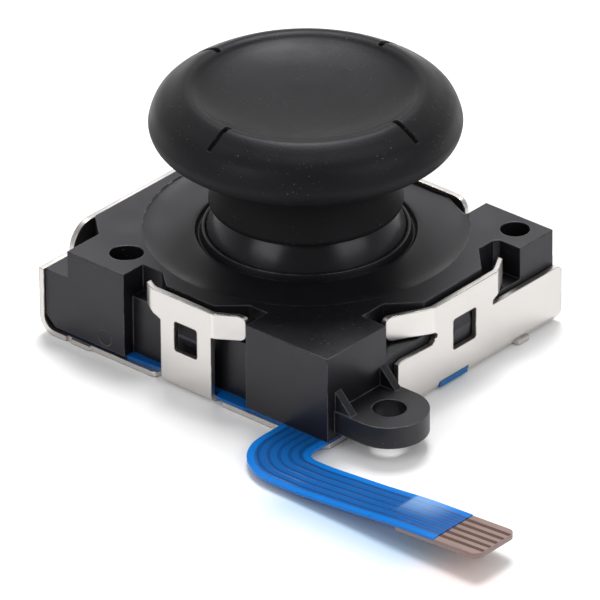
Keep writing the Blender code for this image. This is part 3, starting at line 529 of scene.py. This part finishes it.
def stick_dome():
    """Turned post, polished dome with the spring ledge inside, and rod with a round tip."""
    post = np.array([(0, POST_TOP), (POST_R - POST_CHAMFER, POST_TOP),
                     (POST_R, POST_TOP - POST_CHAMFER), (POST_R, POST_LOW)])
    shell = on_sphere(DOME_R, np.linspace(25.67, 88, 60))
    inside = on_sphere(DOME_INSIDE, np.linspace(88, 72.2, 12))
    above = on_sphere(DOME_INSIDE, np.linspace(62, 22, 16))
    ledge = np.array([(LEDGE_R, inside[-1, 1]), (LEDGE_R, above[0, 1])])
    neck = np.array([(1.1, above[-1, 1] - 0.1), (ROD_R, ROD_TOP)])
    turn = np.radians(np.linspace(0, 90, 8))
    tip = np.stack([ROD_R * np.cos(turn), TIP_Z - TIP_DROP * np.sin(turn)], -1)
    profile = np.vstack([post, shell, inside, ledge, above, neck, tip])
    angles = np.linspace(0, 2 * math.pi, 192, endpoint=False)
    return new_mesh("stick_dome_skin", turned(profile, angles),
                    grid_faces(len(profile), len(angles)))


put("thumb_cap_skin", thumb_cap(), RUBBER, "stick", "rubber", "thumb_cap")
put("stick_dome_skin", stick_dome(), POLISHED, "stick", "polished", "stick_lever")


# Flex circuit: the flat part under the housing and the tail

TAIL_X0, TAIL_X1 = 6.95, 9.90
TAIL_Y1, TAIL_W = -11.60, 3.00
TAIL_Y0 = TAIL_Y1 - TAIL_W
OUT_R, IN_R = 3.10, 0.75
TAIL_ROOT_Y = -9.85
TAIL_END, COVER_END, STIFF_START = 23.70, 20.90, 18.40
ROUND_START, END_ROUND = 23.25, 0.45
TAIL_BENDS, SOFT_BEND = ((11.6, 0.083), (15.4, 0.029), (18.1, -0.054)), 0.6
BARE_THICK, STIFF_THICK, STIFF_BELOW = 0.11, 0.19, 0.2
RIDGE_DROP = 0.02
FINGERS, FINGER_PITCH, FINGER_HALF = 5, 0.5, 0.11


def straight_line(run, y):
    """Points (x, y) at each x of the run."""
    return np.stack([run, 0 * run], -1) + (0, y)


def lift(x):
    """Rise of the tail: for each bend, nothing before it, the change of slope times the run
    after it, and a parabola between that joins the two."""
    rise = 0.0 * x
    for place, change in TAIL_BENDS:
        run = np.maximum(0.0, x - place + SOFT_BEND)
        bent = np.where(run < 2 * SOFT_BEND, run * run / (4 * SOFT_BEND), run - SOFT_BEND)
        rise = rise + change * bent
    return rise


def tail_edges(count_bend, straight):
    """Outer and inner edge points of the tail: two arcs, then straight to the end."""
    turn = np.radians(np.linspace(180, 270, count_bend))
    outer = np.stack([TAIL_X0 + OUT_R + OUT_R * np.cos(turn),
                      TAIL_Y0 + OUT_R + OUT_R * np.sin(turn)], -1)
    inner = np.stack([TAIL_X1 + IN_R + IN_R * np.cos(turn),
                      TAIL_Y1 + IN_R + IN_R * np.sin(turn)], -1)
    outer = np.vstack([[TAIL_X0, TAIL_ROOT_Y], outer, straight_line(straight, TAIL_Y0)])
    inner = np.vstack([[TAIL_X1, TAIL_ROOT_Y], inner, straight_line(straight, TAIL_Y1)])
    return outer, inner


def ribbon(name, outer, inner, low, section, end_round=0.0):
    """A closed cross-section carried along two edge lines. The section is (share across,
    height): a point lies at that share between the edges, at low plus its height plus the
    tail's rise. With end_round the corners at the tip are quarter circles of that radius."""
    share, height = section[:, 0], section[:, 1]
    flat = outer[:, None] * (1 - share)[None, :, None] + inner[:, None] * share[None, :, None]
    if end_round:
        rest = np.clip(TAIL_END - flat[..., 0], 0, end_round)
        inset = end_round - np.sqrt(end_round ** 2 - (end_round - rest) ** 2)
        middle = (TAIL_Y0 + TAIL_Y1) / 2
        flat[..., 1] = middle + (flat[..., 1] - middle) * (1 - 2 * inset / TAIL_W)
    points = np.concatenate([flat, (low + height + lift(flat[..., 0]))[..., None]], -1) * MM
    rows, columns = len(outer), len(section)
    length = np.broadcast_to(flat[..., :1].mean(1, keepdims=True), flat[..., :1].shape)
    uv = np.concatenate([np.broadcast_to(share[None, :, None], length.shape), length], -1)
    ends = (range(columns), range((rows - 1) * columns, rows * columns))
    return new_mesh(name, points, grid_faces(rows, columns), ends, uv)


def film_section():
    """Top with a low ridge at each sixth of the width, from cosine bumps, and a plain
    underside."""
    across = np.linspace(0, 1, 121)
    from_ridge = abs((across * 6 + 0.5) % 1 - 0.5)
    bump = np.cos(np.clip(from_ridge / 0.30, 0, 1) * math.pi) * 0.5 + 0.5
    bump = bump * (across > 0.08) * (across < 0.92)
    top = np.stack([across, FILM + RIDGE_DROP * (bump - 1)], -1)
    return np.vstack([top, np.stack([across[::-30], 0 * across[::-30]], -1)])


blue_run = np.concatenate([np.arange(11.0, 12.4, 0.2), np.linspace(12.6, COVER_END, 42)])
outer, inner = tail_edges(28, blue_run)
put("flex_tail", ribbon("flex_tail", outer, inner, SHEET, film_section()),
    BLUE_TAIL, "base", "film", "flex_circuit")

round_run = TAIL_END - END_ROUND * (1 - np.sin(np.linspace(0, math.pi / 2, 12)))
bare_run = np.concatenate([np.linspace(COVER_END, ROUND_START, 8), round_run])
bare_section = np.array([(0, BARE_THICK), (0.25, BARE_THICK), (0.5, BARE_THICK),
                         (0.75, BARE_THICK), (1, BARE_THICK), (1, 0), (0.5, 0), (0, 0)])
put("bare_tail_end", ribbon("bare_tail_end", straight_line(bare_run, TAIL_Y0),
                            straight_line(bare_run, TAIL_Y1), SHEET, bare_section, END_ROUND),
    BARE, "base", "film")

stiff_run = np.concatenate([np.linspace(STIFF_START, ROUND_START, 16), round_run])
stiff_section = bare_section * (1, STIFF_THICK / BARE_THICK)
put("stiffener_film", ribbon("stiffener_film", straight_line(stiff_run, TAIL_Y0),
                             straight_line(stiff_run, TAIL_Y1), SHEET - STIFF_BELOW,
                             stiff_section, END_ROUND),
    BARE, "base", "film", "tail_stiffener")

finger_run = np.linspace(COVER_END - 0.05, TAIL_END - 0.03, 14)
finger_section = np.array([(0.0, 0.0), (0.06, 0.016), (0.2, 0.022), (0.8, 0.022), (0.94, 0.016),
                           (1.0, 0.0), (1.0, -0.02), (0.0, -0.02)])
for number in range(1, FINGERS + 1):
    centre = TAIL_Y0 + FINGER_PITCH * number
    name = "finger_strip_%d" % number
    put(name, ribbon(name, straight_line(finger_run, centre - FINGER_HALF),
                     straight_line(finger_run, centre + FINGER_HALF), SHEET + BARE_THICK,
                     finger_section),
        CONTACT, "base", "contacts", "contact_finger_%d" % number)

# Outlines (x, y) of the film under the housing and of its tab in the slot of the +X panel
FILM_BODY = [(9.90, -5.40), (9.70, -5.20), (9.70, -1.55), (10.28, -1.55), (10.28, 0.62),
             (9.70, 0.62), (9.70, 7.60), (5.75, 7.60), (5.75, 6.70), (-5.15, 6.70),
             (-5.15, 7.60), (-8.20, 7.60), (-8.20, -9.60), (-4.00, -9.60), (-3.60, -9.80),
             (-1.40, -9.66), (-1.10, -9.55), (2.45, -9.55), (2.60, -10.00), (4.40, -10.00),
             (4.60, -9.85), (6.95, -9.85), (9.90, -9.85)]
FILM_TAB = [(9.95, -1.55), (10.29, -1.55), (10.29, 0.62), (9.95, 0.62)]
TAB_LOW, TAB_DROP = 0.14, 0.01


def slab(name, outline, low, high):
    """A flat outline carried straight up from low to high, capped at both ends."""
    plan = np.array(outline, float)
    rows = [np.column_stack([plan, np.full(len(plan), z)]) for z in (low, high)]
    n = len(plan)
    return new_mesh(name, np.stack(rows) * MM, grid_faces(2, n), (range(n), range(n, 2 * n)))


put("flex_sheet", slab("flex_sheet", FILM_BODY, SHEET, SHEET + FILM),
    SHADED_BLUE_SHEET, "base", "film", "flex_circuit")
put("slot_tab", slab("slot_tab", FILM_TAB, TAB_LOW, SHEET + FILM - TAB_DROP),
    SHADED_BLUE_TAB, "base", "film")


# Top of the housing inside the circle

# Plan (x, y) of the housing's back edge, where the ring is cut off
BACK_EDGE = [(5.50, 7.80), (5.50, 6.38), (5.20, 6.38), (4.75, 6.58), (3.50, 7.21),
             (-1.25, 7.21), (-2.30, 6.35), (-5.00, 6.35), (-5.00, 7.80)]
BACK_MARGIN = 0.08
# Profiles (radius, height above the housing's top)
LIP = [(5.225, 0.050), (5.25, 0.065), (5.29, 0.070), (5.33, 0.066), (5.355, 0.052),
       (5.372, -0.010)]
GROOVE = [(5.395, -0.130), (5.42, -0.265), (5.44, -0.325), (5.455, -0.360), (5.49, -0.395),
          (5.53, -0.405), (5.57, -0.390), (5.62, -0.330), (5.66, -0.250), (5.69, -0.190),
          (5.73, -0.145)]
DISH = [(5.80, -0.125), (5.92, -0.120), (6.20, -0.135), (6.70, -0.175), (7.20, -0.200),
        (7.60, -0.198), (7.86, -0.184), (8.06, -0.152), (8.24, -0.110), (8.36, -0.078),
        (8.41, -0.050), (8.432, -0.010), (8.445, 0.002)]
DISH_UNDER = [(8.445, -0.12), (7.30, -0.40), (6.60, -0.59), (6.05, -0.66), (5.75, -0.70),
              (5.44, -0.50), (5.33, -0.25), (5.24, 0.02)]


def ray_length(angles, edge):
    """Distance from the axis to the edge line along each angle: for every segment from p to q
    the ray t d meets it where t = p x (q - p) / d x (q - p). The nearest crossing counts."""
    p, q = np.array(edge[:-1]), np.array(edge[1:])
    x, y = np.cos(angles)[:, None], np.sin(angles)[:, None]
    side = q - p
    across = x * side[:, 1] - y * side[:, 0]
    across = np.where(abs(across) < 1e-9, 1e-9, across)
    length = (p[:, 0] * side[:, 1] - p[:, 1] * side[:, 0]) / across
    share = (p[:, 0] * y - p[:, 1] * x) / across
    met = (share >= 0) & (share <= 1) & (length > 0)
    return np.where(met, length, np.inf).min(1)


def top_dish():
    """Turned ring: rounded crest beside the dome's opening, a narrow groove that the neck dips
    into, a nearly flat floor and a steep step at the circle. Round the axis, radii past the
    housing's back edge stop there, at the height that the profile has at that radius."""
    over = np.array(LIP + GROOVE + DISH) + (0, TOP_Z)
    under = np.array(DISH_UNDER) + (0, TOP_Z)
    angles = np.linspace(0, 2 * math.pi, 720, endpoint=False)
    limit = ray_length(angles, BACK_EDGE) - BACK_MARGIN
    rows = []
    for line in (over, under):
        r = np.minimum(line[:, :1], limit)
        order = np.argsort(line[:, 0])
        at_edge = np.interp(limit, line[order, 0], line[order, 1])
        z = np.where(line[:, :1] > limit, at_edge, line[:, 1:])
        rows.append(np.stack([r * np.cos(angles), r * np.sin(angles), z], -1))
    points = np.concatenate([*rows, rows[0][:1]]) * MM
    return new_mesh("top_dish", points, grid_faces(len(points), len(angles)))


put("top_dish", top_dish(), SHELL, "base", "shell")


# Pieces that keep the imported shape, with merged and evenly shaded surfaces


def kept_shape(node):
    """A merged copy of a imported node, its flat faces joined and shaded by angle."""
    mesh = frame["nodes"][node].data.copy()
    mesh.name = node + "_finished"
    bm = bmesh.new()
    bm.from_mesh(mesh)
    bmesh.ops.remove_doubles(bm, verts=bm.verts, dist=MERGE)
    bmesh.ops.dissolve_limit(bm, angle_limit=math.radians(0.4), verts=bm.verts, edges=bm.edges)
    bm.to_mesh(mesh)
    bm.free()
    for name in [a.name for a in mesh.attributes if a.name.startswith("custom_normal")]:
        mesh.attributes.remove(mesh.attributes[name])
    mesh.shade_smooth()
    mesh.set_sharp_from_angle(angle=math.radians(KEPT_SMOOTH_BELOW))
    return mesh


KEPT = {"housing": (SHELL, "shell"), "base_plate": (NICKEL, "sheet"),
        "track_x_resistor": (INK, "ink"), "track_x_collector": (TRACK, "contacts"),
        "track_y_resistor": (INK, "ink"), "track_y_collector": (TRACK, "contacts"),
        "snap_dome": (SNAP, "dome_steel"), "slider_guide": (ACETAL, "acetal"),
        "bearing_frame": (BEARING, "bearing"), "slider_x": (ACETAL, "acetal"),
        "slider_y": (ACETAL, "acetal"), "wiper_x": (WIPER, "wiper"),
        "wiper_y": (WIPER, "wiper"), "gimbal_ring": (BEARING, "bearing"),
        "pivot_hub": (BEARING, "bearing"), "return_spring": (SPRING, "spring")}
for node, (look, slot) in KEPT.items():
    made = put(node + "_finished", kept_shape(node), look, body_of(frame["nodes"][node])[0],
               slot, node)
    even = made.modifiers.new("even_shading", "WEIGHTED_NORMAL")
    even.keep_sharp = True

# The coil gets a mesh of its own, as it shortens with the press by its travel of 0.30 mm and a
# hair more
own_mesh(bpy.data.objects["return_spring_finished"])


# Studio

LAMP_AIM_Z = 0.004                          # in metres
TOWARDS_CAMERA = (0.657, -0.754, 0.0)       # level direction from the object to the camera


def softbox(name, azimuth, elevation, distance, size, power):
    """A square lamp at an azimuth and elevation about the stick's pivot, facing it."""
    a, e = math.radians(azimuth), math.radians(elevation)
    back = Vector((math.sin(a) * math.cos(e), -math.cos(a) * math.cos(e), math.sin(e)))
    data = bpy.data.lights.new(name, "AREA")
    data.shape = "SQUARE"
    data.size = size
    data.energy = power
    lamp = bpy.data.objects.new(name, data)
    scene.collection.objects.link(lamp)
    lamp.matrix_world = (Matrix.Translation(back * distance + Vector((0, 0, LAMP_AIM_Z)))
                         @ (-back).to_track_quat("-Z", "Y").to_matrix().to_4x4())


softbox("box_left", azimuth=-8, elevation=28, distance=0.40, size=0.22, power=0.41)
softbox("box_right", azimuth=98, elevation=30, distance=0.40, size=0.24, power=0.43)
softbox("box_top", azimuth=218, elevation=62, distance=0.50, size=0.20, power=2.20)

FLOOR_COLOUR = (0.93, 0.93, 0.935, 1)
# Painted shadow colours on the floor beside the tail: blue and rosy
PAINTED_BLUE_SHADOW, PAINTED_ROSY_SHADOW = (0.46, 0.60, 0.76, 1), (0.80, 0.69, 0.67, 1)
# Where the painted shadow rises and falls, in metres: in front of the tail, behind it, and
# along it
PAINTED_SHADOW_FRONT, PAINTED_SHADOW_BACK = (-0.0188, -0.0144), (-0.0145, -0.0118)
PAINTED_SHADOW_BEGIN, PAINTED_SHADOW_END = (0.0080, 0.0125), (0.0225, 0.0275)
PAINTED_SHADOW_TURNS_ROSY = (0.0190, 0.0225)


def pale_floor():
    """A wide floor just under the plate, with a soft gloss. Beside the tail a painted shadow in
    the film's colours stands in for light passed through and off the film: blue under the
    coverlay and rosy under the bare end, strongest below the tail's edge and gone a few
    millimetres out."""
    mesh = bpy.data.meshes.new("floor")
    reach, low = 4.0, -2e-5
    mesh.from_pydata([(-reach, -reach, low), (reach, -reach, low), (reach, reach, low),
                      (-reach, reach, low)], [], [(0, 1, 2, 3)])
    made = bpy.data.objects.new("floor", mesh)
    scene.collection.objects.link(made)
    look, tree, shader = finish("pale_floor", Roughness=0.20)
    place = add(tree, "ShaderNodeTexCoord").outputs["Object"]
    x, y, _ = add(tree, "ShaderNodeSeparateXYZ", {0: place}).outputs
    front = ramp(tree, y, *PAINTED_SHADOW_FRONT)
    back = ramp(tree, y, *PAINTED_SHADOW_BACK, 1.0, 0.0)
    begin = ramp(tree, x, *PAINTED_SHADOW_BEGIN)
    end = ramp(tree, x, *PAINTED_SHADOW_END, 1.0, 0.0)
    # Mask of the painted shadow: strongest below the tail's edge, gone a few millimetres out
    near = maths(tree, "MULTIPLY", maths(tree, "MULTIPLY", front, back),
                 maths(tree, "MULTIPLY", begin, end))
    painted_shadow_colour = blend_colour(tree, ramp(tree, x, *PAINTED_SHADOW_TURNS_ROSY), PAINTED_BLUE_SHADOW, PAINTED_ROSY_SHADOW)
    base = blend_colour(tree, near, FLOOR_COLOUR, painted_shadow_colour)
    tree.links.new(base, shader.inputs["Base Color"])
    mesh.materials.append(look)


pale_floor()


def pale_world():
    """White to the camera. Gloss sees the same white behind the object, dimmer beside it, in
    front of it and high up; the light itself is a pale sky that is greyer low down."""
    world = bpy.data.worlds.new("studio")
    world.use_nodes = True
    scene.world = world
    tree = world.node_tree
    ground = tree.nodes["Background"]
    sky = add(tree, "ShaderNodeTexCoord").outputs["Generated"]
    parts = add(tree, "ShaderNodeSeparateXYZ", {0: sky})
    height = ramp(tree, parts.outputs[2], 0.0, 0.8, 0.34, 0.62)
    path = add(tree, "ShaderNodeLightPath").outputs
    forward = add(tree, "ShaderNodeVectorMath", {0: sky, 1: TOWARDS_CAMERA},
                  operation="DOT_PRODUCT").outputs["Value"]
    backdrop = ramp(tree, forward, -0.8, 0.5, 1.0, 0.22)
    upward = ramp(tree, parts.outputs[2], 0.12, 0.60, 1.0, 0.55)
    backdrop = maths(tree, "MULTIPLY", backdrop, upward)
    backdrop = maths(tree, "MAXIMUM", backdrop, path["Is Camera Ray"])
    seen = maths(tree, "MAXIMUM", path["Is Camera Ray"], path["Is Glossy Ray"])
    seen = maths(tree, "MAXIMUM", seen, path["Is Transmission Ray"])
    value = add(tree, "ShaderNodeMix", {0: seen, 2: height, 3: backdrop},
                data_type="FLOAT").outputs[0]
    tree.links.new(value, ground.inputs["Strength"])
    ground.inputs["Color"].default_value = (1.0, 1.0, 1.0, 1.0)


pale_world()
scene.view_settings.view_transform = "Standard"

bpy.context.view_layer.update()
